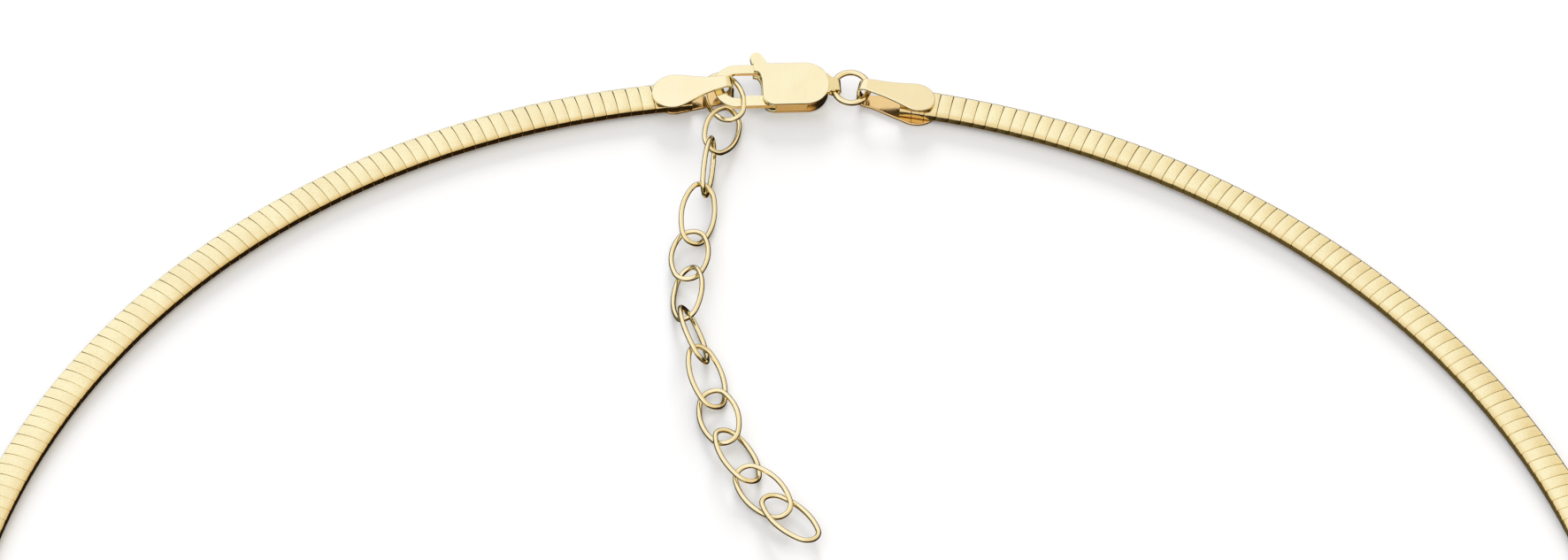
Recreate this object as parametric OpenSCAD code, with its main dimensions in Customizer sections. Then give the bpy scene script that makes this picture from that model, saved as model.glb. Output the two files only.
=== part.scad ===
// Omega necklace: a springy flat band ring closed at the back of the neck
// by a hook clasp, with a short chain of oval links that lets it out.
// Millimetres. The ring lies flat, its middle is the origin, the clasp is
// on +Y and the table is z = 0.

/* [Band] */
// radius of the neck ring, measured to the middle of the band
ring_r = 72.9; // [68:0.1:80]
// width of the band seen from above
band_w = 3.16; // [2.6:0.02:4]
// height of the band's upright side walls
wall_h = 0.7; // [0.5:0.05:1]
// how much the face of the band rises above the side walls
crown_h = 0.25; // [0.1:0.05:0.5]
// number of crimped plates in one full turn of the ring
plates_per_turn = 380; // [300:2:420]
// width of the groove between two plates
seam_w = 0.09; // [0.05:0.01:0.2]
// depth of the groove between two plates, from the top of the face
seam_depth = 0.4; // [0.3:0.05:0.6]
// width of the mesh channel along the underside
channel_w = 1.6; // [0.8:0.1:2]
// depth of the mesh channel along the underside
channel_depth = 0.14; // [0.05:0.01:0.25]
// straight distance from the middle of the clasp to each end of the band
end_x = 10; // [9:0.1:11]
// gap where the two halves of the band meet at the front
front_gap = 0.06; // [0.04:0.01:0.2]

/* [End caps] */
// thickness of the strip that each end cap is folded from
cap_t = 0.28; // [0.2:0.02:0.4]
// diameter of the round end of the left cap's upper strip
left_round_d = 4.2; // [3.6:0.1:5]
// diameter of the round end of the right cap's upper strip
right_round_d = 3.5; // [3.4:0.1:4.6]
// diameter of the round end of the left cap's lower strip
left_low_d = 2.9; // [2.7:0.1:4.4]
// diameter of the round end of the right cap's lower strip
right_low_d = 4.2; // [2.7:0.1:4.4]
// width of a cap's neck
cap_neck_w = 1.8; // [1.4:0.1:2.4]
// distance from the middle of the round end to the neck
cap_neck_x = 3.9; // [3.4:0.1:4.4]
// width of the strip where it folds over
cap_fold_w = 1; // [0.9:0.05:1.2]
// height of the left cap's folded end, from the table
left_fold_h = 2.5; // [2.3:0.05:2.8]
// height of the right cap's folded end, from the table
right_fold_h = 2.5; // [2.3:0.05:2.8]
// outer radius of the two bends of the folded end
cap_bend_r = 0.8; // [0.6:0.05:1]
// gap between a cap's strip and the band inside it
cap_gap = 0.05; // [0.04:0.01:0.1]
// distance from the middle of the round end to the fold, left cap
left_reach = 5.7; // [5.2:0.1:6]
// distance from the middle of the round end to the fold, right cap
right_reach = 5.7; // [5.2:0.1:6]

/* [Clasp] */
// length of the clasp body left of the middle of its round end
body_left = 4.11; // [3.8:0.05:4.5]
// width of the clasp body
body_w = 4.5; // [4.2:0.1:5]
// thickness of the clasp body
body_h = 1.75; // [1.6:0.05:2]
// thickness of the clasp's top and bottom plates
plate_t = 0.4; // [0.3:0.05:0.45]
// tilt of the clasp, its far edge up, as it rests on the table
clasp_roll = 15; // [13:1:17]
// turn of the clasp seen from above
clasp_turn = 4; // [3:1:5]
// outer radius of the hook
hook_r = 2.15; // [2.1:0.05:2.25]
// width of the hook's bar seen from above
hook_bar = 0.9; // [0.8:0.05:0.95]
// thickness of the hook
hook_t = 0.55; // [0.45:0.05:0.6]
// extra tilt of the hook against the plates
hook_lean = 6; // [5:1:7]
// thickness of the wall along the near side of the slot
side_wall = 0.17; // [0.14:0.01:0.2]
// width of the tongue that carries the eye
tongue_w = 1.3; // [1.1:0.1:1.6]
// thickness of the tongue
tongue_t = 0.3; // [0.25:0.05:0.4]
// length of the eye rolled at the end of the tongue
eye_len = 1; // [0.8:0.05:1.1]
// outer radius of the eye at the end of the tongue
eye_r = 0.65; // [0.62:0.01:0.7]

/* [Lever] */
// thickness of the lever between the plates
lever_t = 0.55; // [0.4:0.05:0.6]
// width of the gate that closes the hook
gate_w = 1.1; // [0.9:0.05:1.2]
// gap between the gate and the tip of the hook
gate_gap = 0.14; // [0.1:0.02:0.2]
// radius of the thumb knob
knob_r = 0.6; // [0.5:0.02:0.64]
// radius of the hinge pin
pin_r = 0.32; // [0.25:0.01:0.4]
// gap around the hinge pin
pin_gap = 0.08; // [0.06:0.01:0.1]

/* [Links] */
// outer length of a chain link
link_len = 7.0; // [6.8:0.05:7.2]
// outer width of a chain link
link_w = 3.9; // [3.7:0.05:4.1]
// wire diameter of a chain link
link_wire = 0.48; // [0.4:0.02:0.5]
// radius of a link's round end, to the middle of the wire
link_end_r = 1.25; // [1.1:0.05:1.4]
// outer diameter of the jump ring at the right cap
jump_d = 3.9; // [3.86:0.02:3.96]
// wire diameter of the jump ring
jump_wire = 0.56; // [0.5:0.02:0.58]

/* [Hidden] */
// bends and solder joints overlap their neighbours by this length
lap = 0.06;
// and stand proud of them by this height
inset = 0.006;
// angle of one crimped plate
plate_angle = 360 / plates_per_turn;
// radius of the arc that makes the rounded face
crown_r = (band_w * band_w / 4 + crown_h * crown_h) / (2 * crown_h);
// full height of the band
band_h = wall_h + crown_h;
// the band clears the caps' lower strips by this height
band_lift = cap_t + cap_gap;
// the ring leans from the caps down to the table at the front
band_lean = asin(band_lift / (2 * ring_r));
// angle from the middle of the clasp to each end of the band
end_angle = asin(end_x / ring_r);
// angle of the gap at the front of each half
front_angle = front_gap / 2 / ring_r * 180 / PI;
// plates in half of the ring
plates_half = floor((180 - end_angle) / plate_angle);
// middles of the round ends of the caps
left_cap_pos = [-11.6, ring_r - 1.15];
right_cap_pos = [11.45, ring_r - 1.1];
// turn of each cap, from its round end towards the clasp
left_cap_turn = 10.5;
right_cap_turn = 168.8;
// the clasp's own zero point, with the lower near edge on the table
clasp_pos = [-0.6, ring_r + 0.28, body_w / 2 * sin(clasp_roll) + 0.02];
// middle of the clasp body's round end
heel_x = 1.45;
// left edge of the clasp body
body_x0 = heel_x - body_left;
// middle of the hook's round bend
hook_pos = [-5.1, 0.2];
// height of the slot between the plates
slot_h = body_h - 2 * plate_t;
// height of the middle of the hook above the body's underside
hook_mid = body_h * 0.49;
// left end of the wall along the near side of the slot
side_wall_x = -1.5;
// radius of the lever's hub
hub_r = 0.75 * gate_w;
// gap between the hub and the wall along the near side
hub_gap = 0.055;
// hinge of the lever
pivot = [-1.2, hub_r + hub_gap + side_wall - body_w / 2];
// middle of the thumb knob
knob_pos = [-3.02, 3.2];
// left end of the hook's tip
tip_x = -4.45;
// middle of the eye
eye_pos = [4.2, body_h * 0.49];
// radius of the hole in the eye, with room for the ring's curve
eye_hole = jump_wire / 2 + 0.17;
// how far the jump ring has slid along the eye
jump_slide = -0.15;
// how far the ring's wire sits left of the middle of the eye
jump_shift = 0.06;
// drop of the tongue from the heel to the eye
tongue_drop = 14;
// length of the tongue from the middle of the eye back into the heel
tongue_len = 1;
// where the chain starts, inside the fold of the left cap
chain_start = [-7.5, ring_r + 1, 1];
// the route below is laid out for links of this length
route_link = 7;
// middle points between the chain's links, measured from its start
chain_route = [
    [0, 0, 0],
    [1.4, -4.5, 0.4],
    [-0.4, -9.4, 1],
    [-1.1, -15, 0.9],
    [-2.2, -20.7, -0.1],
    [-2.5, -24.9, 0.2],
    [-2.5, -31, 0.6],
    [-1.3, -35.5, 0.7],
    [0, -40.4, -0.3],
    [1, -44.4, -0.1],
    [3.3, -49.7, -0.1],
    [5.6, -52.7, -0.1],
    [8.1, -55.8, 0.1]
];
// the second link hangs this much lower at its start
second_drop = 0.4;
// roll of each link about its own length
chain_roll = [15, -38, -80, -33, 8, 41, -56, -24, 14, -22, 14, -11];
gold = [0.9, 0.78, 0.45];
pale_gold = [0.96, 0.88, 0.6];

// cross section of the band: flat underside with a channel, rounded face
module band_section() {
    difference() {
        intersection() {
            translate([ring_r - band_w / 2, 0])
                square([band_w, band_h]);
            translate([ring_r, band_h - crown_r])
                circle(r = crown_r, $fn = 180);
        }
        translate([ring_r - channel_w / 2, -1])
            square([channel_w, 1 + channel_depth]);
    }
}

// half of the ring from the angle start, with its grooves
module band_half(start, dir) {
    sweep = 180 - end_angle - front_angle;
    translate([0, ring_r, band_lift])
        rotate([band_lean, 0, 0])
            translate([0, -ring_r, 0])
                difference() {
                    rotate([0, 0, dir > 0 ? start : start - sweep])
                        rotate_extrude(angle = sweep, $fn = 360)
                            band_section();
                    for (i = [1 : plates_half])
                        rotate([0, 0, start + dir * i * plate_angle])
                            translate([ring_r - band_w, -seam_w / 2, band_h - seam_depth])
                                cube([2 * band_w, seam_w, seam_depth + 1]);
                }
}

module band_left() {
    color(gold)
        band_half(90 + end_angle, 1);
}

module band_right() {
    color(gold)
        band_half(90 - end_angle, -1);
}

// part of a flat ring between two angles less than 180 degrees apart
module bend(r, t, a0, a1) {
    mid = (a0 + a1) / 2;
    intersection() {
        difference() {
            circle(r = r, $fn = 64);
            circle(r = r - t, $fn = 64);
        }
        polygon([
            [0, 0],
            [2 * r * cos(a0), 2 * r * sin(a0)],
            [4 * r * cos(mid), 4 * r * sin(mid)],
            [2 * r * cos(a1), 2 * r * sin(a1)]
        ]);
    }
}

// stands a side view up and gives it a width along Y
module across(width) {
    translate([0, width / 2, 0])
        rotate([90, 0, 0])
            linear_extrude(width)
                children();
}

// folded strip of a cap, long and wide enough for the larger round end
module cap_strip(reach, fold_h, widest) {
    width = 2 * widest;
    cx = reach - cap_bend_r;
    back = -widest / 2 - 1;
    // lowest point of the upper strip over the end of the round
    rest = band_lift + band_h + cap_gap;
    slope = atan((fold_h - cap_t - rest) / (cx + widest / 2));
    across(width)
        translate([back, inset])
            square([cx - back + lap, cap_t - 2 * inset]);
    across(width)
        translate([cx, cap_bend_r])
            bend(cap_bend_r, cap_t, -90, 0);
    across(width)
        translate([reach - cap_t + inset, cap_bend_r - lap])
            square([cap_t - 2 * inset, fold_h - 2 * cap_bend_r + 2 * lap]);
    across(width)
        translate([cx, fold_h - cap_bend_r])
            bend(cap_bend_r, cap_t, 0, 90 + slope);
    across(width)
        translate([cx, fold_h - cap_bend_r])
            rotate(slope)
                translate([back - cx, cap_bend_r - cap_t + inset])
                    square([cx - back + lap, cap_t - 2 * inset]);
}

// upright block with the outline that a cap's strip has from above
module cap_block(reach, round_d, height) {
    r = round_d / 2;
    cylinder(r = r, h = height, $fn = 96);
    linear_extrude(height)
        polygon([
            [0.3 * r, 0.95 * r],
            [cap_neck_x, cap_neck_w / 2],
            [reach + 1, cap_fold_w / 2],
            [reach + 1, -cap_fold_w / 2],
            [cap_neck_x, -cap_neck_w / 2],
            [0.3 * r, -0.95 * r]
        ]);
}

module end_cap(pos, turn, reach, fold_h, round_d, low_d) {
    color(pale_gold)
        translate([pos[0], pos[1], 0])
            rotate([0, 0, turn])
                intersection() {
                    cap_strip(reach, fold_h, max(round_d, low_d));
                    union() {
                        translate([0, 0, -1])
                            cap_block(reach, low_d, fold_h / 2 + 1 + lap);
                        translate([0, 0, fold_h / 2])
                            cap_block(reach, round_d, fold_h);
                    }
                }
}

module end_cap_left() {
    end_cap(left_cap_pos, left_cap_turn, left_reach, left_fold_h, left_round_d, left_low_d);
}

module end_cap_right() {
    end_cap(right_cap_pos, right_cap_turn, right_reach, right_fold_h, right_round_d, right_low_d);
}

// puts what follows into the clasp's own frame
module in_clasp() {
    translate(clasp_pos)
        rotate([clasp_roll, 0, clasp_turn])
            children();
}

// the clasp body without its slot and hook
module body_block() {
    r = body_w / 2;
    corner = r / 2;
    translate([heel_x, 0, 0])
        cylinder(r = r, h = body_h, $fn = 120);
    translate([body_x0 + corner, -r + corner, 0])
        cylinder(r = corner, h = body_h, $fn = 48);
    linear_extrude(body_h)
        polygon([
            [body_x0, -r + corner],
            [body_x0, 0.2 * r],
            [body_x0 - 0.1, 0.45 * r],
            [body_x0 - 0.35, 0.62 * r],
            [body_x0 - 0.75, 0.66 * r],
            [body_x0 - 0.75, r],
            [heel_x, r],
            [heel_x, -r],
            [body_x0 + corner, -r]
        ]);
}

// the hook, with its far arm reaching into the body
module hook_bow() {
    inner = hook_r - hook_bar;
    linear_extrude(hook_t)
        intersection() {
            translate(hook_pos)
                difference() {
                    circle(r = hook_r, $fn = 120);
                    circle(r = inner, $fn = 96);
                }
            polygon([
                [-9, 4],
                [hook_pos[0], 4],
                [hook_pos[0], 0],
                [tip_x, -0.2],
                [tip_x, -4],
                [-9, -4]
            ]);
        }
    translate([hook_pos[0] - lap, hook_pos[1] + inner + inset, inset])
        cube([body_x0 - 0.3 - hook_pos[0] + lap, hook_bar - 2 * inset, hook_t - 2 * inset]);
}

// the open space between the plates, seen from above
module slot_outline() {
    near = side_wall - body_w / 2;
    polygon([
        [body_x0 - 0.06, -3],
        [side_wall_x, -3],
        [side_wall_x, near],
        [0.1, near],
        [0.1, -1.9],
        [1.1, 0.4],
        [1.1, 3],
        [body_x0 - 0.06, 3]
    ]);
}

// the tongue at the heel and the eye rolled at its end
module tongue() {
    bar = eye_r - inset;
    translate([eye_pos[0], 0, eye_pos[1]]) {
        rotate([90, 0, 0])
            cylinder(r = eye_r, h = eye_len, center = true, $fn = 64);
        rotate([0, tongue_drop, 0])
            translate([-tongue_len, -tongue_w / 2, bar - tongue_t])
                cube([tongue_len, tongue_w, tongue_t]);
    }
}

module clasp_body() {
    color(pale_gold)
        in_clasp() {
            difference() {
                union() {
                    body_block();
                    tongue();
                }
                translate([0, 0, plate_t])
                    linear_extrude(slot_h)
                        slot_outline();
                translate([eye_pos[0], 3, eye_pos[1]])
                    rotate([90, 0, 0])
                        cylinder(r = eye_hole, h = 6, $fn = 48);
            }
            translate([pivot[0], pivot[1], plate_t / 2])
                cylinder(r = pin_r, h = body_h - plate_t, $fn = 48);
            translate([0, 0, hook_mid])
                rotate([hook_lean, 0, 0])
                    translate([0, 0, -hook_t / 2])
                        hook_bow();
        }
}

// the lever: hub, gate, thumb arm and knob
module lever_block() {
    translate([pivot[0], pivot[1], 0])
        cylinder(r = hub_r, h = lever_t, $fn = 64);
    translate([tip_x + gate_gap, pivot[1] - hub_r, 0])
        cube([pivot[0] - tip_x - gate_gap, gate_w, lever_t]);
    linear_extrude(lever_t)
        polygon([
            [-2.0, -1.2],
            [-2.3, 1.4],
            [-2.55, 2.3],
            [-2.65, 2.48],
            [-3.5, 2.5],
            [-3.58, 3.2],
            [-2.65, 3.66],
            [-2.06, 2.7],
            [-1.9, 2.3],
            [-1.4, 1.2],
            [-0.5, -1.0]
        ]);
    translate([knob_pos[0], knob_pos[1], 0])
        cylinder(r = knob_r, h = lever_t, $fn = 48);
}

module clasp_lever() {
    color(pale_gold)
        in_clasp()
            translate([0, 0, body_h / 2 - lever_t / 2])
                difference() {
                    lever_block();
                    translate([pivot[0], pivot[1], -1])
                        cylinder(r = pin_r + pin_gap, h = lever_t + 2, $fn = 48);
                }
}

// closed oval of round wire, lying flat with its length along X
module oval_wire(len, width, wire, end_r) {
    a = (len - wire) / 2;
    b = (width - wire) / 2;
    side_r = ((a - end_r) * (a - end_r) + b * b - end_r * end_r) / (2 * (b - end_r));
    half = atan2(a - end_r, side_r - b);
    // the sides run this many degrees into the slightly thicker ends
    into = lap / side_r * 180 / PI;
    for (s = [0, 180])
        rotate([0, 0, s]) {
            translate([0, b - side_r, 0])
                rotate([0, 0, 90 - half - into])
                    rotate_extrude(angle = 2 * (half + into), $fn = 120)
                        translate([side_r, 0])
                            circle(d = wire - 2 * inset, $fn = 24);
            translate([a - end_r, 0, 0])
                rotate([0, 0, half - 90])
                    rotate_extrude(angle = 180 - 2 * half, $fn = 72)
                        translate([end_r, 0])
                            circle(d = wire, $fn = 24);
        }
}

module jump_ring() {
    r = (jump_d - jump_wire) / 2;
    color(pale_gold)
        in_clasp()
            translate([eye_pos[0] - jump_shift + r, jump_slide, eye_pos[1]])
                rotate_extrude($fn = 120)
                    translate([r, 0])
                        circle(d = jump_wire, $fn = 24);
}

// one chain link between two points of the route
module chain_link(i) {
    drop = i == 1 ? [0, 0, second_drop] : [0, 0, 0];
    p = (chain_route[i] - drop) * link_len / route_link;
    q = chain_route[i + 1] * link_len / route_link;
    d = q - p;
    color(gold)
        translate(chain_start + (p + q) / 2)
            rotate([chain_roll[i], -atan2(d[2], norm([d[0], d[1]])), atan2(d[1], d[0])])
                oval_wire(link_len, link_w, link_wire, link_end_r);
}

module link_00() { chain_link(0); }
module link_01() { chain_link(1); }
module link_02() { chain_link(2); }
module link_03() { chain_link(3); }
module link_04() { chain_link(4); }
module link_05() { chain_link(5); }
module link_06() { chain_link(6); }
module link_07() { chain_link(7); }
module link_08() { chain_link(8); }
module link_09() { chain_link(9); }
module link_10() { chain_link(10); }
module link_11() { chain_link(11); }

band_left();
band_right();
end_cap_left();
end_cap_right();
clasp_body();
clasp_lever();
jump_ring();
link_00();
link_01();
link_02();
link_03();
link_04();
link_05();
link_06();
link_07();
link_08();
link_09();
link_10();
link_11();
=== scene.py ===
import math
import random
import bmesh
import bpy
from mathutils import Matrix, Vector


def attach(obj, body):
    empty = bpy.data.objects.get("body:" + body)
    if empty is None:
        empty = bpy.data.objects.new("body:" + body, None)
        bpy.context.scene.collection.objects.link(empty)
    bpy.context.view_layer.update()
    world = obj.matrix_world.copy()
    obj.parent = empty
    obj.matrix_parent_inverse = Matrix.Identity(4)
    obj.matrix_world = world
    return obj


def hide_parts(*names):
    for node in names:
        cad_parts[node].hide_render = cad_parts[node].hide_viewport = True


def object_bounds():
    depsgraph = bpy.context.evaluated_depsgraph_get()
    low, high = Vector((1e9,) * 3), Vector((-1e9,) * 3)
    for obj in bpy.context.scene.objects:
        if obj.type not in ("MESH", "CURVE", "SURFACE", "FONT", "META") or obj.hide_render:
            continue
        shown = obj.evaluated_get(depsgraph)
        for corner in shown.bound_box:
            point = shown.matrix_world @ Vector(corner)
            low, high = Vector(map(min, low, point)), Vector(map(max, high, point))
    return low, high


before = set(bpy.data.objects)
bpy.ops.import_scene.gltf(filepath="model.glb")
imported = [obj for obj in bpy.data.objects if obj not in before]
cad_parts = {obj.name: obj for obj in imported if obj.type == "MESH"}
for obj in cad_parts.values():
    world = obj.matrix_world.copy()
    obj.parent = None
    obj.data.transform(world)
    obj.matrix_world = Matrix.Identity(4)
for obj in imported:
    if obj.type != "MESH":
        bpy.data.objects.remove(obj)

cad_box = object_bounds()


# Band. The neck ring is two springy halves of small polished gold plates,
# each crimped over a flat woven core with its ends folded under. The
# plates are straight, so the seams open a little towards the outside.
MM = 0.001
RING_R = 72.9
BAND_W = 3.16
BAND_H = 0.95
CROWN_R = 5.118
FLANGE_R = 0.08
CHANNEL_W = 1.6
CHANNEL_DEPTH = 0.14
BAND_LIFT = 0.33
PLATES_ROUND = 380
PLATE_ANGLE = math.radians(360 / PLATES_ROUND)
PLATE_LEN = 1.145
PLATE_PLAY = 0.006
PLATE_ROCK = 0.5
PLATE_TIP = 0.25
# distance from a plate's end, and how far its faces are eased off there
PLATE_EASE = [(0.0, 0.022), (0.012, 0.007), (0.04, 0.0)]
PLATE_SWELL = 0.002
BAND_END_X = 10
FRONT_GAP = 0.03
END_ANGLE = math.asin(BAND_END_X / RING_R)
HALF_SWEEP = math.pi - END_ANGLE - FRONT_GAP / RING_R
CORE_HALF_W = 1.42
CORE_DEPTH = 0.06
CORE_LOW = 0.16
MESH_HALF_W = 0.76
MESH_STEPS = 6

# the ring leans from the caps down to the table at the front
LEAN = (Matrix.Translation((0, RING_R, BAND_LIFT))
        @ Matrix.Rotation(math.asin(BAND_LIFT / (2 * RING_R)), 4, "X")
        @ Matrix.Translation((0, -RING_R, 0)))


def arc_points(centre, radius, start, end, steps):
    """Points of an arc, from the angle start to the angle end in degrees."""
    points = []
    for k in range(steps + 1):
        a = math.radians(start + (end - start) * k / steps)
        points.append((centre[0] + radius * math.cos(a), centre[1] + radius * math.sin(a)))
    return points


def make_piece(name, points, faces, smooth_angle=40):
    """A mesh object from points in millimetres."""
    mesh = bpy.data.meshes.new(name)
    mesh.from_pydata([tuple(c * MM for c in p) for p in points], [], faces)
    mesh.polygons.foreach_set("use_smooth", [True] * len(mesh.polygons))
    mesh.set_sharp_from_angle(angle=math.radians(smooth_angle))
    piece = bpy.data.objects.new(name, mesh)
    bpy.context.scene.collection.objects.link(piece)
    return piece


def finish_piece(piece, material, nodes, body="necklace"):
    """Gives a piece its finish, its body and the CAD nodes that it stands for."""
    piece.data.materials.append(material)
    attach(piece, body)
    if nodes:
        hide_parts(*nodes)


def add_node(tree, kind, inputs=None, **settings):
    """A shader node with its settings, values and links."""
    node = tree.nodes.new(kind)
    for key, value in settings.items():
        setattr(node, key, value)
    for key, value in (inputs or {}).items():
        if isinstance(value, bpy.types.NodeSocket):
            tree.links.new(value, node.inputs[key])
        else:
            node.inputs[key].default_value = value
    return node


# painted shade on the band's inside edge begins this far in from its middle line
UNSHADED_REACH = 1.0


def gold_finish(name, face, warm, rough, grain_mm, grain, scratch, painted_shade=None, reach=None):
    """Polished gold: face colour drifting to warm, with fine grain and scratches.

    The optional darker colour is painted shade: it is mixed in towards the inside
    edge of the ring, or with reach, over what lies below that height.
    """
    material = bpy.data.materials.new(name)
    material.use_nodes = True
    tree = material.node_tree
    shader = tree.nodes["Principled BSDF"]
    spot = add_node(tree, "ShaderNodeTexCoord").outputs["Object"]
    drift = add_node(tree, "ShaderNodeTexNoise", {"Vector": spot, "Scale": 330.0, "Detail": 3.0})
    amount = add_node(tree, "ShaderNodeMapRange", {
        "Value": drift.outputs["Fac"], "From Min": 0.35, "From Max": 0.75,
        "To Min": 0.0, "To Max": 0.3}).outputs["Result"]
    colour = add_node(tree, "ShaderNodeMix", {
        0: amount, 6: face, 7: warm}, data_type="RGBA").outputs[2]
    # painted shade: the darker colour is mixed in towards the ring's inside edge, or below the
    # given height
    if painted_shade:
        if reach:
            axis = add_node(tree, "ShaderNodeSeparateXYZ", {"Vector": spot}).outputs["Z"]
            limits = {"From Min": reach * MM, "From Max": 0.3 * reach * MM}
        else:
            flat = add_node(tree, "ShaderNodeVectorMath", {
                0: spot, 1: (1, 1, 0)}, operation="MULTIPLY")
            radius = add_node(tree, "ShaderNodeVectorMath", {
                0: flat.outputs[0]}, operation="LENGTH")
            axis = radius.outputs["Value"]
            limits = {"From Min": (RING_R - UNSHADED_REACH) * MM,
                      "From Max": (RING_R - BAND_W / 2) * MM}
        shade_amount = add_node(tree, "ShaderNodeMapRange", {
            "Value": axis, **limits, "To Min": 0.0, "To Max": 0.8}, interpolation_type="SMOOTHSTEP")
        colour = add_node(tree, "ShaderNodeMix", {
            0: shade_amount.outputs["Result"], 6: colour, 7: painted_shade}, data_type="RGBA").outputs[2]
    speckle = add_node(tree, "ShaderNodeTexNoise", {
        "Vector": spot, "Scale": 0.7 / (grain_mm * MM), "Detail": 1.0})
    fleck = add_node(tree, "ShaderNodeMapRange", {
        "Value": speckle.outputs["Fac"], "From Min": 0.5, "From Max": 0.8,
        "To Min": 0.0, "To Max": 0.5 * grain})
    colour = add_node(tree, "ShaderNodeMix", {
        0: fleck.outputs["Result"], 6: colour, 7: warm}, data_type="RGBA").outputs[2]
    tree.links.new(colour, shader.inputs["Base Color"])
    shader.inputs["Metallic"].default_value = 1.0
    polish = add_node(tree, "ShaderNodeTexNoise", {"Vector": spot, "Scale": 900.0, "Detail": 4.0})
    gloss = add_node(tree, "ShaderNodeMapRange", {
        "Value": polish.outputs["Fac"], "From Min": 0.3, "From Max": 0.7,
        "To Min": rough * 0.75, "To Max": rough * 1.3})
    tree.links.new(gloss.outputs["Result"], shader.inputs["Roughness"])
    stipple = add_node(tree, "ShaderNodeTexNoise", {
        "Vector": spot, "Scale": 1 / (grain_mm * MM), "Detail": 2.0})
    dents = add_node(tree, "ShaderNodeBump", {
        "Height": stipple.outputs["Fac"], "Strength": grain, "Distance": 0.02 * MM})
    stretched = add_node(tree, "ShaderNodeMapping", {
        "Vector": spot, "Rotation": (0.2, 0.3, 0.9), "Scale": (9000.0, 500.0, 3000.0)})
    hair = add_node(tree, "ShaderNodeTexNoise", {
        "Vector": stretched.outputs["Vector"], "Scale": 1.0, "Detail": 1.0})
    lines = add_node(tree, "ShaderNodeMapRange", {
        "Value": hair.outputs["Fac"], "From Min": 0.62, "From Max": 0.7})
    bumps = add_node(tree, "ShaderNodeBump", {
        "Height": lines.outputs["Result"], "Strength": scratch, "Distance": 0.01 * MM,
        "Normal": dents.outputs["Normal"]})
    tree.links.new(bumps.outputs["Normal"], shader.inputs["Normal"])
    return material


def plate_section(inset, outer_rim_r, inner_rim_r):
    """A plate's outline across the band, pulled in by inset at its ends."""
    half_w = BAND_W / 2 - inset
    low = inset
    top = BAND_H - inset
    crown_mid = top - CROWN_R
    halves = []
    for rim_r in (outer_rim_r, inner_rim_r):
        rim_x = half_w - rim_r
        rim_z = crown_mid + math.sqrt(CROWN_R ** 2 - rim_x ** 2) - rim_r * 0.96
        tilt = math.degrees(math.asin(rim_x / CROWN_R))
        half = [(CHANNEL_W / 2, CHANNEL_DEPTH), (CHANNEL_W / 2, low)]
        half += arc_points((half_w - FLANGE_R, low + FLANGE_R), FLANGE_R, -90, 0, 3)
        half += arc_points((rim_x, rim_z), rim_r, 0, 90 - tilt, 6)
        for share in (0.9, 0.7, 0.5, 0.3, 0.15):
            u = share * rim_x
            half.append((u, crown_mid + math.sqrt(CROWN_R ** 2 - u ** 2)))
        halves.append(half)
    inner = [(-u, z) for u, z in reversed(halves[1])]
    return halves[0] + [(0, top)] + inner


def make_band(name, start, way, seed, outer_rim_r, inner_rim_r):
    """Half of the ring: a row of plates from the angle start, way 1 or -1."""
    chance = random.Random(seed)
    points = []
    faces = []
    at = 0.0
    while at < HALF_SWEEP - 0.001:
        span = min(PLATE_ANGLE, HALF_SWEEP - at)
        length = PLATE_LEN * span / PLATE_ANGLE
        turn = start + way * (at + span / 2)
        at += span
        half = length / 2
        stations = [(-half + run, inset) for run, inset in PLATE_EASE]
        stations.append((0.0, -PLATE_SWELL))
        stations += [(half - run, inset) for run, inset in reversed(PLATE_EASE)]
        lift = chance.uniform(2 * PLATE_PLAY, 3 * PLATE_PLAY)
        seat = (LEAN @ Matrix.Rotation(turn, 4, "Z")
                @ Matrix.Translation((RING_R - PLATE_PLAY, 0, lift))
                @ Matrix.Rotation(math.radians(chance.uniform(-PLATE_ROCK, PLATE_ROCK)), 4, "X")
                @ Matrix.Rotation(math.radians(chance.uniform(-PLATE_TIP, PLATE_TIP)), 4, "Y"))
        base = len(points)
        for t, inset in stations:
            ring = plate_section(max(inset, 0.0), outer_rim_r, inner_rim_r)
            size = len(ring)
            for u, z in ring:
                points.append(seat @ Vector((u, t, z - min(inset, 0.0))))
        for k in range(len(stations) - 1):
            for j in range(size):
                a = base + k * size + j
                b = base + k * size + (j + 1) % size
                faces.append((a, b, b + size, a + size))
        last = base + (len(stations) - 1) * size
        faces.append(tuple(base + j for j in reversed(range(size))))
        faces.append(tuple(last + j for j in range(size)))
    return make_piece(name, points, faces)


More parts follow.
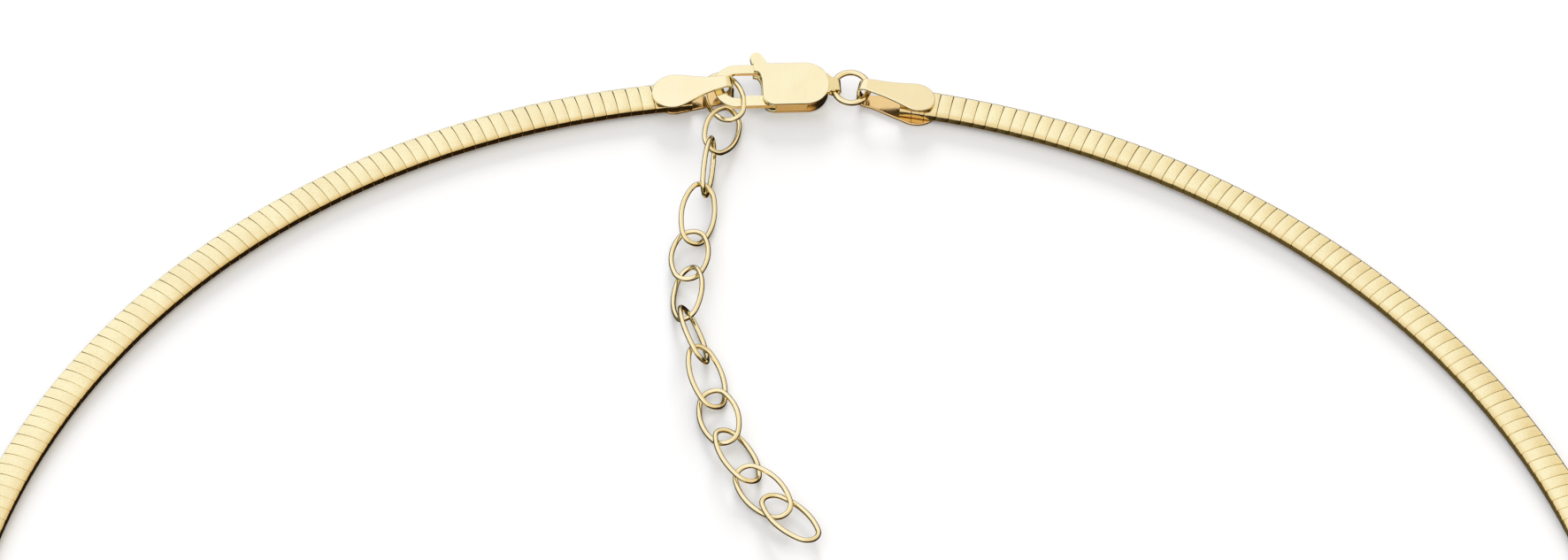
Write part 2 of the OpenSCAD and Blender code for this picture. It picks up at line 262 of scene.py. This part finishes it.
def make_core(name, start, way):
    """The flat woven core inside a row of plates, its wires showing underneath."""
    points = []
    faces = []
    steps = math.ceil(HALF_SWEEP / PLATE_ANGLE) * MESH_STEPS
    crown_mid = BAND_H - CORE_DEPTH - CROWN_R
    crown = [(u, crown_mid + math.sqrt(CROWN_R ** 2 - u ** 2))
             for u in (CORE_HALF_W, 0.95, 0.5, 0, -0.5, -0.95, -CORE_HALF_W)]
    for k in range(steps + 1):
        turn = start + way * (HALF_SWEEP * k / steps)
        ridge = 0.035 * abs(math.sin(math.pi * k / 2 + 0.4))
        cross = 0.03 * abs(math.sin(math.pi * k / 3))
        outline = [(CORE_HALF_W, CORE_LOW)] + crown
        outline += [(-CORE_HALF_W, CORE_LOW), (-MESH_HALF_W - 0.02, CORE_LOW)]
        outline += [(-MESH_HALF_W, 0.04 + ridge), (-MESH_HALF_W / 2, 0.03 + cross),
                    (0.0, 0.04 + ridge), (MESH_HALF_W / 2, 0.03 + cross),
                    (MESH_HALF_W, 0.04 + ridge), (MESH_HALF_W + 0.02, CORE_LOW)]
        seat = LEAN @ Matrix.Rotation(turn, 4, "Z") @ Matrix.Translation((RING_R, 0, 0))
        for u, z in outline:
            points.append(seat @ Vector((u, 0, z)))
    size = len(outline)
    for k in range(steps):
        for j in range(size):
            a = k * size + j
            b = k * size + (j + 1) % size
            faces.append((a, a + size, b + size, b) if way > 0 else (a, b, b + size, a + size))
    first = tuple(range(size))
    last = tuple(steps * size + j for j in range(size))
    faces.append(first if way > 0 else tuple(reversed(first)))
    faces.append(tuple(reversed(last)) if way > 0 else last)
    return make_piece(name, points, faces)


# The band's inside edge is painted a darker, deeper gold: painted shade on the wall that faces away
# from the light.
band_gold = gold_finish("band_gold_painted_shade", (1.0, 0.90, 0.57, 1), (0.84, 0.64, 0.32, 1),
                        rough=0.17, grain_mm=0.13, grain=0.7, scratch=0.3,
                        painted_shade=(0.80, 0.58, 0.24, 1))
# The core's gold is made near-black: painted shade for the inside of the band, where it shows
# through the seams and underneath.
core_gold = gold_finish("core_gold_painted_shade", (0.085, 0.055, 0.02, 1), (0.04, 0.025, 0.01, 1),
                        rough=0.45, grain_mm=0.12, grain=0.5, scratch=0.0)
# the right half is rolled rounder at its rims than the left half
for side, start, way, seed, outer_rim_r, inner_rim_r in (
        ("left", math.pi / 2 + END_ANGLE, 1, 11, 0.07, 0.2),
        ("right", math.pi / 2 - END_ANGLE, -1, 23, 0.36, 0.4)):
    plates = make_band("plates_" + side, start, way, seed, outer_rim_r, inner_rim_r)
    finish_piece(plates, band_gold, ["band_" + side])
    core = make_core("core_" + side, start, way)
    finish_piece(core, core_gold, [])


# End caps. Each is one strip of bright gold cut with two round ends and a
# narrow neck, then folded in two round the last plates of the band and
# soldered; the loop of the fold holds the jump ring and the chain.
CAP_T = 0.28
CAP_WIDEST_R = 2.1
CAP_REACH = 5.7
CAP_FOLD_H = 2.5
CAP_BEND_R = 0.8
CAP_FOLD_HALF_W = 0.65
CAP_BEVEL = 0.12
CAP_CLEAR = 0.05
# the round end runs over into the waist at this angle, then into the neck
WAIST_TURN = 72.5
WAIST_LEAVE = (1.145, -0.36)
WAIST_PULL = (2.75, 1.0)
NECK = (4.1, 0.86)
NECK_END = (4.9, 0.75)
BEND_CUTS = 24


# edges left shorter than this by the rounding are closed up
SLIVER = 0.001


def bevelled_slab(outline, low, high, bevel, segments=3):
    """bmesh of a flat plate with this outline, its rims rounded over."""
    bm = bmesh.new()
    base = [bm.verts.new((x, y, low)) for x, y in outline]
    floor_face = bm.faces.new(base)
    grown = bmesh.ops.extrude_face_region(bm, geom=[floor_face])
    tops = [v for v in grown["geom"] if isinstance(v, bmesh.types.BMVert)]
    bmesh.ops.translate(bm, vec=(0, 0, high - low), verts=tops)
    bmesh.ops.recalc_face_normals(bm, faces=bm.faces)
    rims = [e for e in bm.edges if abs(e.verts[0].co.z - e.verts[1].co.z) < 1e-9]
    sides = [e for e in bm.edges if e not in set(rims) and e.calc_face_angle(0) > 0.6]
    bmesh.ops.bevel(bm, geom=rims + sides, offset=bevel, segments=segments, profile=0.5,
                    affect="EDGES", clamp_overlap=True)
    bmesh.ops.dissolve_degenerate(bm, dist=SLIVER, edges=bm.edges)
    return bm


def slab_piece(name, slabs, place):
    """One object from several slabs, each (bmesh, matrix), all put in place."""
    mesh = bpy.data.meshes.new(name)
    whole = bmesh.new()
    for bm, seat in slabs:
        bm.transform(place @ seat)
        part = bpy.data.meshes.new("part")
        bm.to_mesh(part)
        bm.free()
        whole.from_mesh(part)
        bpy.data.meshes.remove(part)
    bmesh.ops.scale(whole, vec=(MM, MM, MM), verts=whole.verts)
    whole.to_mesh(mesh)
    whole.free()
    mesh.polygons.foreach_set("use_smooth", [True] * len(mesh.polygons))
    mesh.set_sharp_from_angle(angle=math.radians(50))
    piece = bpy.data.objects.new(name, mesh)
    bpy.context.scene.collection.objects.link(piece)
    flat = piece.modifiers.new("flat_faces", "WEIGHTED_NORMAL")
    flat.keep_sharp = True
    return piece


def curve_points(p0, p1, p2, p3, steps):
    """Points along a cubic curve with these four control points."""
    points = []
    for k in range(steps + 1):
        t = k / steps
        s = 1 - t
        points.append(tuple(s ** 3 * a + 3 * s * s * t * b + 3 * s * t * t * c + t ** 3 * d
                            for a, b, c, d in zip(p0, p1, p2, p3)))
    return points


def cap_end(middle, round_r, waisted):
    """Half of the blank's outline, from the fold round one end to the fold.

    middle is the distance along the strip from the fold to the round end.
    """
    edge = arc_points((0, 0), round_r, 180, WAIST_TURN, 30)
    if waisted:
        leave = (edge[-1][0] + WAIST_LEAVE[0], edge[-1][1] + WAIST_LEAVE[1])
        edge += curve_points(edge[-1], leave, WAIST_PULL, NECK, 12)[1:]
    else:
        edge.append(NECK)
    edge.append(NECK_END)
    near = [(middle - x, y) for x, y in reversed(edge)]
    far = [(middle - x, -y) for x, y in edge[1:]]
    return near + far


def make_cap(name, pos, turn, top_r, low_r):
    """A folded end cap, cut flat, rounded over and then bent."""
    rest = BAND_LIFT + BAND_H + CAP_CLEAR
    bend_x = CAP_REACH - CAP_BEND_R
    slope = math.atan((CAP_FOLD_H - CAP_T - rest) / (bend_x + CAP_WIDEST_R))
    mid_r = CAP_BEND_R - CAP_T / 2
    upright = CAP_FOLD_H / 2 - CAP_BEND_R
    top_turn = math.pi / 2 + slope
    top_end = upright + mid_r * top_turn
    low_end = upright + mid_r * math.pi / 2
    top_middle = top_end + (bend_x + mid_r * math.cos(top_turn)) / math.cos(slope)
    low_middle = low_end + bend_x
    outline = cap_end(top_middle, top_r, True)
    outline = [(upright, CAP_FOLD_HALF_W)] + outline + [(upright, -CAP_FOLD_HALF_W)]
    lower = [(-s, y) for s, y in cap_end(low_middle, low_r, False)]
    outline += [(-upright, -CAP_FOLD_HALF_W)] + lower[::-1] + [(-upright, CAP_FOLD_HALF_W)]
    bm = bevelled_slab(outline[::-1], -CAP_T / 2, CAP_T / 2, CAP_BEVEL)
    cuts = []
    for k in range(BEND_CUTS + 1):
        cuts.append(upright + (top_end - upright) * k / BEND_CUTS)
        cuts.append(-upright - (low_end - upright) * k / BEND_CUTS)
    for s in cuts:
        bmesh.ops.bisect_plane(bm, geom=bm.verts[:] + bm.edges[:] + bm.faces[:],
                               dist=1e-5, plane_co=(s, 0, 0), plane_no=(1, 0, 0))
    mid_z = CAP_FOLD_H / 2
    for v in bm.verts:
        s, y, d = v.co
        way = 1 if s > 0 else -1
        bend = (top_turn if s > 0 else math.pi / 2)
        run = abs(s) - upright
        if run <= 0:
            v.co = (bend_x + mid_r + d, y, mid_z + s)
            continue
        a = min(run / mid_r, bend)
        past = max(run - mid_r * bend, 0)
        x = bend_x + (mid_r + d) * math.cos(a) - past * math.sin(a)
        z = (mid_r + d) * math.sin(a) + past * math.cos(a)
        v.co = (x, y, mid_z + way * (upright + z))
    place = Matrix.Translation((pos[0], pos[1], 0)) @ Matrix.Rotation(math.radians(turn), 4, "Z")
    return slab_piece(name, [(bm, Matrix.Identity(4))], place)


# The lower part of each cap, under its top tab, is painted a darker orange gold: painted shade and
# painted warm reflection from the gold around it.
cap_gold = gold_finish("cap_gold_painted_shade", (1.0, 0.90, 0.60, 1), (0.98, 0.78, 0.42, 1),
                       rough=0.14, grain_mm=0.2, grain=0.25, scratch=0.35,
                       painted_shade=(0.84, 0.54, 0.20, 1), reach=1.2)
for side, pos, turn, top_r, low_r in (("left", (-11.6, 71.75), 10.5, 2.1, 1.45),
                                      ("right", (11.45, 71.8), 168.8, 1.75, 2.1)):
    cap = make_cap("cap_" + side, pos, turn, top_r, low_r)
    finish_piece(cap, cap_gold, ["end_cap_" + side])


# Clasp body. Two bright plates soldered to a heel, with a slot between
# them for the lever; a flat hook bar comes out of the slot's far corner,
# and a drooping tongue at the heel ends in the eye for the jump ring.
CLASP_POS = (-0.6, 73.18, 0.6023)
CLASP_TURN = 4
CLASP_TILT = 15
CLASP = (Matrix.Translation(CLASP_POS)
         @ Matrix.Rotation(math.radians(CLASP_TURN), 4, "Z")
         @ Matrix.Rotation(math.radians(CLASP_TILT), 4, "X"))
BODY_R = 2.25
BODY_H = 1.75
BODY_X0 = -2.66
HEEL_X = 1.45
LEAF_T = 0.4
LEAF_BEVEL = 0.08
LEAF_CORNER_R = 1.125
FLUSH = 0.003
SIDE_WALL = 0.17
SIDE_WALL_X = -1.5
HOOK_POS = (-5.1, 0.2)
HOOK_R = 2.15
HOOK_INNER_R = 1.25
HOOK_T = 0.55
HOOK_TILT = 6
HOOK_ROUND = 0.2
HOOK_OUTER_END = 287.6
HOOK_INNER_END = 301.3
EYE_POS = Vector((4.2, 0, 0.8575))
EYE_R = 0.65
EYE_HOLE_R = 0.45
EYE_LEN = 1.3
EYE_EASE = 0.05
TONGUE_W = 1.3
TONGUE_T = 0.3
TONGUE_DROP = 14
TONGUE_ROOT_HALF_W = 1.05


def lathe(profile, steps):
    """bmesh of a closed profile of (radius, along) turned about the Y axis."""
    bm = bmesh.new()
    rings = []
    for k in range(steps):
        a = 2 * math.pi * k / steps
        rings.append([bm.verts.new((r * math.cos(a), y, r * math.sin(a))) for r, y in profile])
    for k in range(steps):
        here = rings[k]
        there = rings[(k + 1) % steps]
        for j in range(len(profile)):
            n = (j + 1) % len(profile)
            bm.faces.new((here[j], here[n], there[n], there[j]))
    bmesh.ops.recalc_face_normals(bm, faces=bm.faces)
    return bm


leaf = arc_points((HEEL_X, 0), BODY_R, -90, 90, 40)
leaf += [(BODY_X0 - 0.75, BODY_R), (BODY_X0 - 0.75, 1.485)]
leaf += curve_points((BODY_X0 - 0.35, 1.395), (BODY_X0 - 0.15, 1.25), (BODY_X0 - 0.05, 0.95),
                     (BODY_X0, 0.45), 6)
leaf += arc_points((BODY_X0 + LEAF_CORNER_R, LEAF_CORNER_R - BODY_R), LEAF_CORNER_R, 180, 270, 14)
heel = arc_points((HEEL_X, 0), BODY_R - FLUSH, -90, 90, 40)
heel += [(1.1, BODY_R - FLUSH), (1.1, 0.4), (0.1, -1.9), (0.1, SIDE_WALL - BODY_R),
         (SIDE_WALL_X, SIDE_WALL - BODY_R), (SIDE_WALL_X, FLUSH - BODY_R)]
root = [(BODY_X0 - 0.7, BODY_R - 0.05), (BODY_X0 - 0.7, 1.52), (BODY_X0 - 0.35, 1.45),
        (BODY_X0 - 0.06, 1.3), (BODY_X0 - 0.06, BODY_R - 0.05)]
hook = [(BODY_X0 - 0.3, HOOK_POS[1] + HOOK_R)]
hook += arc_points(HOOK_POS, HOOK_R, 90, HOOK_OUTER_END, 60)
hook += arc_points(HOOK_POS, HOOK_INNER_R, HOOK_INNER_END, 90, 50)
hook.append((BODY_X0 - 0.3, HOOK_POS[1] + HOOK_INNER_R))
hook_seat = (Matrix.Translation((0, 0, 0.49 * BODY_H))
             @ Matrix.Rotation(math.radians(HOOK_TILT), 4, "X"))
flare = curve_points((0, TONGUE_W / 2), (-0.35, TONGUE_W / 2), (-0.55, 0.75),
                     (-0.78, TONGUE_ROOT_HALF_W), 8)
flare.append((-1.0, TONGUE_ROOT_HALF_W))
tongue = flare + [(x, -y) for x, y in reversed(flare)]
tongue_seat = (Matrix.Translation(EYE_POS)
               @ Matrix.Rotation(math.radians(TONGUE_DROP), 4, "Y"))
eye = [(EYE_HOLE_R, -EYE_LEN / 2 + EYE_EASE), (EYE_HOLE_R + EYE_EASE, -EYE_LEN / 2),
       (EYE_R - EYE_EASE, -EYE_LEN / 2), (EYE_R, -EYE_LEN / 2 + EYE_EASE),
       (EYE_R, EYE_LEN / 2 - EYE_EASE), (EYE_R - EYE_EASE, EYE_LEN / 2),
       (EYE_HOLE_R + EYE_EASE, EYE_LEN / 2), (EYE_HOLE_R, EYE_LEN / 2 - EYE_EASE)]
still = Matrix.Identity(4)
body_slabs = [
    (bevelled_slab(leaf, BODY_H - LEAF_T, BODY_H, LEAF_BEVEL), still),
    (bevelled_slab(leaf, 0, LEAF_T, LEAF_BEVEL), still),
    (bevelled_slab(heel, FLUSH, BODY_H - FLUSH, LEAF_BEVEL), still),
    (bevelled_slab(root, LEAF_T - 0.02, BODY_H - LEAF_T + 0.02, 0.01, 1), still),
    (bevelled_slab(hook, -HOOK_T / 2, HOOK_T / 2, HOOK_ROUND, 5), hook_seat),
    (bevelled_slab(tongue, EYE_R - TONGUE_T, EYE_R, 0.05), tongue_seat),
    (lathe(eye, 48), Matrix.Translation(EYE_POS)),
]
clasp = slab_piece("clasp_plates", body_slabs, CLASP)
clasp_gold = gold_finish("clasp_gold_finish", (1.0, 0.91, 0.61, 1), (0.98, 0.80, 0.43, 1),
                         rough=0.14, grain_mm=0.22, grain=0.22, scratch=0.3)
finish_piece(clasp, clasp_gold, ["clasp_body"])


# Lever. One flat stamping on a pin between the plates: a gate that shuts
# the hook, an arm that runs across under the top plate, and a small
# knob for the thumb. A spring in the heel holds it shut.
LEVER_T = 0.55
PIVOT = (-1.2, -1.2)
HUB_R = 0.825
GATE_TIP_X = -4.31
GATE_LOW_Y = -2.025
GATE_HIGH_Y = -0.925
KNOB = (-3.02, 3.2)
KNOB_R = 0.6
LEVER_BEVEL = 0.09
lever_outline = [(GATE_TIP_X, GATE_LOW_Y), (-1.25, GATE_LOW_Y)]
lever_outline += arc_points(PIVOT, HUB_R, -85, 15, 11)
lever_outline += [(-0.55, -0.7), (-1.4, 1.2), (-1.9, 2.3), (-2.08, 2.72), (-2.6, 3.6)]
lever_outline += arc_points(KNOB, KNOB_R, 45, 180, 14)
lever_outline += [(-3.5, 2.56), (-3.3, 2.5), (-2.7, 2.48), (-2.55, 2.3), (-2.3, 1.4),
                  (-2.06, -0.78), (-2.2, GATE_HIGH_Y), (GATE_TIP_X, GATE_HIGH_Y)]
lever_seat = Matrix.Translation((0, 0, BODY_H / 2 - LEVER_T / 2))
lever_slab = bevelled_slab(lever_outline, 0, LEVER_T, LEVER_BEVEL)
lever = slab_piece("lever_gate", [(lever_slab, lever_seat)], CLASP)
finish_piece(lever, clasp_gold, ["clasp_lever"], body="lever")


# Jump ring and chain. A closed ring of round wire joins the eye to the
# right cap, and twelve long oval links of thinner wire, each soldered
# shut, hang from the left cap as the extension.
JUMP_D = 3.9
JUMP_WIRE = 0.56
# the ring hangs this far in and forward from the eye's own middle
JUMP_IN = 0.06
JUMP_FORWARD = 0.15
LINK_LEN = 7.0
LINK_W = 3.9
LINK_WIRE = 0.48
# tumbling takes this much off the thickness of a link's wire
POLISHED_OFF = 0.008
LINK_END_R = 1.25
CHAIN_START = Vector((-7.5, 73.9, 1.0))
CHAIN_ROUTE = [
    (0, 0, 0), (1.4, -4.5, 0.4), (-0.4, -9.4, 1), (-1.1, -15, 0.9), (-2.2, -20.7, -0.1),
    (-2.5, -24.9, 0.2), (-2.5, -31, 0.6), (-1.3, -35.5, 0.7), (0, -40.4, -0.3),
    (1, -44.4, -0.1), (3.3, -49.7, -0.1), (5.6, -52.7, -0.1), (8.1, -55.8, 0.1)]
CHAIN_ROLL = [15, -38, -80, -33, 8, 41, -56, -24, 14, -22, 14, -11]
SECOND_DROP = 0.4


def wire_loop(name, path, wire, place, sides=18):
    """A closed loop of round wire along a flat path."""
    points = []
    faces = []
    count = len(path)
    for k, (x, y) in enumerate(path):
        ahead = Vector(path[(k + 1) % count])
        behind = Vector(path[k - 1])
        along = (ahead - behind).normalized()
        out = Vector((along.y, -along.x))
        for j in range(sides):
            a = 2 * math.pi * j / sides
            reach = wire / 2 * math.cos(a)
            points.append(place @ Vector((x + out.x * reach, y + out.y * reach,
                                          wire / 2 * math.sin(a))))
    for k in range(count):
        for j in range(sides):
            a = k * sides + j
            b = k * sides + (j + 1) % sides
            c = (k + 1) % count * sides + (j + 1) % sides
            d = (k + 1) % count * sides + j
            faces.append((a, d, c, b))
    return make_piece(name, points, faces, smooth_angle=60)


wire_gold = gold_finish("wire_gold_finish", (1.0, 0.88, 0.56, 1), (0.96, 0.72, 0.36, 1),
                        rough=0.075, grain_mm=0.2, grain=0.1, scratch=0.15)
jump_r = (JUMP_D - JUMP_WIRE) / 2
jump_seat = CLASP @ Matrix.Translation((EYE_POS.x - JUMP_IN + jump_r, -JUMP_FORWARD, EYE_POS.z))
jump = wire_loop("jump_ring_wire", arc_points((0, 0), jump_r, 0, 356.25, 95), JUMP_WIRE, jump_seat)
finish_piece(jump, wire_gold, ["jump_ring"])

half_len = (LINK_LEN - LINK_WIRE) / 2
half_w = (LINK_W - LINK_WIRE) / 2
end_x = half_len - LINK_END_R
side_r = (end_x ** 2 + half_w ** 2 - LINK_END_R ** 2) / (2 * (half_w - LINK_END_R))
lean = math.degrees(math.atan2(end_x, side_r - half_w))
half_oval = arc_points((end_x, 0), LINK_END_R, lean - 90, 90 - lean, 20)[:-1]
half_oval += arc_points((0, half_w - side_r), side_r, 90 - lean, 90 + lean, 24)[:-1]
oval = half_oval + [(-x, -y) for x, y in half_oval]
for i, roll in enumerate(CHAIN_ROLL):
    p = CHAIN_START + Vector(CHAIN_ROUTE[i])
    q = CHAIN_START + Vector(CHAIN_ROUTE[i + 1])
    if i == 1:
        p.z -= SECOND_DROP
    run = q - p
    seat = (Matrix.Translation((p + q) / 2)
            @ Matrix.Rotation(math.atan2(run.y, run.x), 4, "Z")
            @ Matrix.Rotation(-math.atan2(run.z, run.xy.length), 4, "Y")
            @ Matrix.Rotation(math.radians(roll), 4, "X"))
    link = wire_loop("chain_link_%02d" % i, oval, LINK_WIRE - POLISHED_OFF, seat)
    finish_piece(link, wire_gold, ["link_%02d" % i])


# Studio. Pale paper under a bright surround, with a low lamp behind the
# ring that throws its shadow forward. Below the table the surround is dark
# and amber, which gives the metal its dark edges and warm undersides.
FLOOR_HALF = 3
WHITE_SKY = (1.05, 1.06, 1.10, 1)
WARM_SKY = (0.90, 0.81, 0.64, 1)
DARK_BELOW = (0.02, 0.013, 0.008, 1)
OLIVE_BELOW = (0.13, 0.12, 0.075, 1)
PALE_NADIR = (0.75, 0.62, 0.40, 1)
AMBER_NADIR = (0.62, 0.30, 0.07, 1)
floor_mesh = bpy.data.meshes.new("studio_floor")
floor_z = cad_box[0][2]
corners = [(-FLOOR_HALF, -FLOOR_HALF, floor_z), (FLOOR_HALF, -FLOOR_HALF, floor_z),
           (FLOOR_HALF, FLOOR_HALF, floor_z), (-FLOOR_HALF, FLOOR_HALF, floor_z)]
floor_mesh.from_pydata(corners, [], [(0, 1, 2, 3)])
floor = bpy.data.objects.new("studio_floor", floor_mesh)
bpy.context.scene.collection.objects.link(floor)
paper = bpy.data.materials.new("pale_paper")
paper.use_nodes = True
paper_shader = paper.node_tree.nodes["Principled BSDF"]
paper_shader.inputs["Base Color"].default_value = (0.79, 0.80, 0.82, 1)
paper_shader.inputs["Emission Color"].default_value = (1, 1, 1, 1)
paper_shader.inputs["Emission Strength"].default_value = 0.1
paper_shader.inputs["Roughness"].default_value = 0.7
paper_shader.inputs["Specular IOR Level"].default_value = 0.1
floor_mesh.materials.append(paper)
floor.visible_glossy = False

world = bpy.data.worlds.new("studio_surround")
bpy.context.scene.world = world
world.use_nodes = True
sky_tree = world.node_tree
direction = add_node(sky_tree, "ShaderNodeTexCoord").outputs["Generated"]
part_of = add_node(sky_tree, "ShaderNodeSeparateXYZ", {"Vector": direction}).outputs
leftward = add_node(sky_tree, "ShaderNodeMapRange", {
    "Value": part_of["X"], "From Min": 0.1, "From Max": -0.6, "To Min": 0.0, "To Max": 1.0},
    interpolation_type="SMOOTHSTEP").outputs["Result"]
below = add_node(sky_tree, "ShaderNodeMix", {
    0: leftward, 6: DARK_BELOW, 7: OLIVE_BELOW}, data_type="RGBA").outputs[2]
nadir_tone = add_node(sky_tree, "ShaderNodeMapRange", {
    "Value": part_of["X"], "From Min": -0.15, "From Max": 0.25, "To Min": 0.0, "To Max": 1.0}
    ).outputs["Result"]
nadir = add_node(sky_tree, "ShaderNodeMix", {
    0: nadir_tone, 6: PALE_NADIR, 7: AMBER_NADIR}, data_type="RGBA").outputs[2]
plumb = add_node(sky_tree, "ShaderNodeMapRange", {
    "Value": part_of["Z"], "From Min": -0.90, "From Max": -0.975, "To Min": 0.0, "To Max": 1.0},
    interpolation_type="SMOOTHSTEP").outputs["Result"]
below = add_node(sky_tree, "ShaderNodeMix", {
    0: plumb, 6: below, 7: nadir}, data_type="RGBA").outputs[2]
rise = add_node(sky_tree, "ShaderNodeMapRange", {
    "Value": part_of["Z"], "From Min": 0.04, "From Max": 0.18, "To Min": 0.0, "To Max": 1.0},
    interpolation_type="SMOOTHSTEP").outputs["Result"]
rightward = add_node(sky_tree, "ShaderNodeMapRange", {
    "Value": part_of["X"], "From Min": 0.02, "From Max": 0.4, "To Min": 0.0, "To Max": 1.0}
    ).outputs["Result"]
above = add_node(sky_tree, "ShaderNodeMix", {
    0: rightward, 6: WHITE_SKY, 7: WARM_SKY}, data_type="RGBA").outputs[2]
shade = add_node(sky_tree, "ShaderNodeMix", {
    0: rise, 6: below, 7: above}, data_type="RGBA").outputs[2]
glow = sky_tree.nodes["Background"]
sky_tree.links.new(shade, glow.inputs["Color"])
glow.inputs["Strength"].default_value = 0.95

key_light = bpy.data.lights.new("key_light", "AREA")
key_light.shape = "DISK"
key_light.size = 0.6
key_light.energy = 26.0
key = bpy.data.objects.new("key_light", key_light)
bpy.context.scene.collection.objects.link(key)
KEY_PLACE = Vector((0.0, 1.52, 0.41))
key.matrix_world = (Matrix.Translation(KEY_PLACE)
                    @ KEY_PLACE.to_track_quat("Z", "Y").to_matrix().to_4x4())
key.visible_glossy = False


# Camera. It looks down over the front of the ring at its back half, at the
# photograph's own angle, from half a metre away and rolled a little.
TARGET = Vector((-1.15, 48.39, 0.95)) * MM
BACK = Vector((-0.0299, -0.6839, 0.7290)).normalized()
DISTANCE = 487.3 * MM
HORIZON = Vector((0.99905, -0.04362, 0.0)).normalized()
CAMERA_ROLL = math.radians(3.34)
upward = BACK.cross(HORIZON)
across = HORIZON * math.cos(CAMERA_ROLL) + upward * math.sin(CAMERA_ROLL)
upward = BACK.cross(across)
camera_data = bpy.data.cameras.new("camera")
camera_data.lens = 121.9
camera_data.sensor_width = 36.0
camera_data.clip_start = 0.01
camera = bpy.data.objects.new("camera", camera_data)
bpy.context.scene.collection.objects.link(camera)
turned = Matrix((across, upward, BACK)).transposed().to_4x4()
camera.matrix_world = Matrix.Translation(TARGET + BACK * DISTANCE) @ turned
bpy.context.scene.camera = camera
bpy.context.scene.view_settings.view_transform = "Standard"
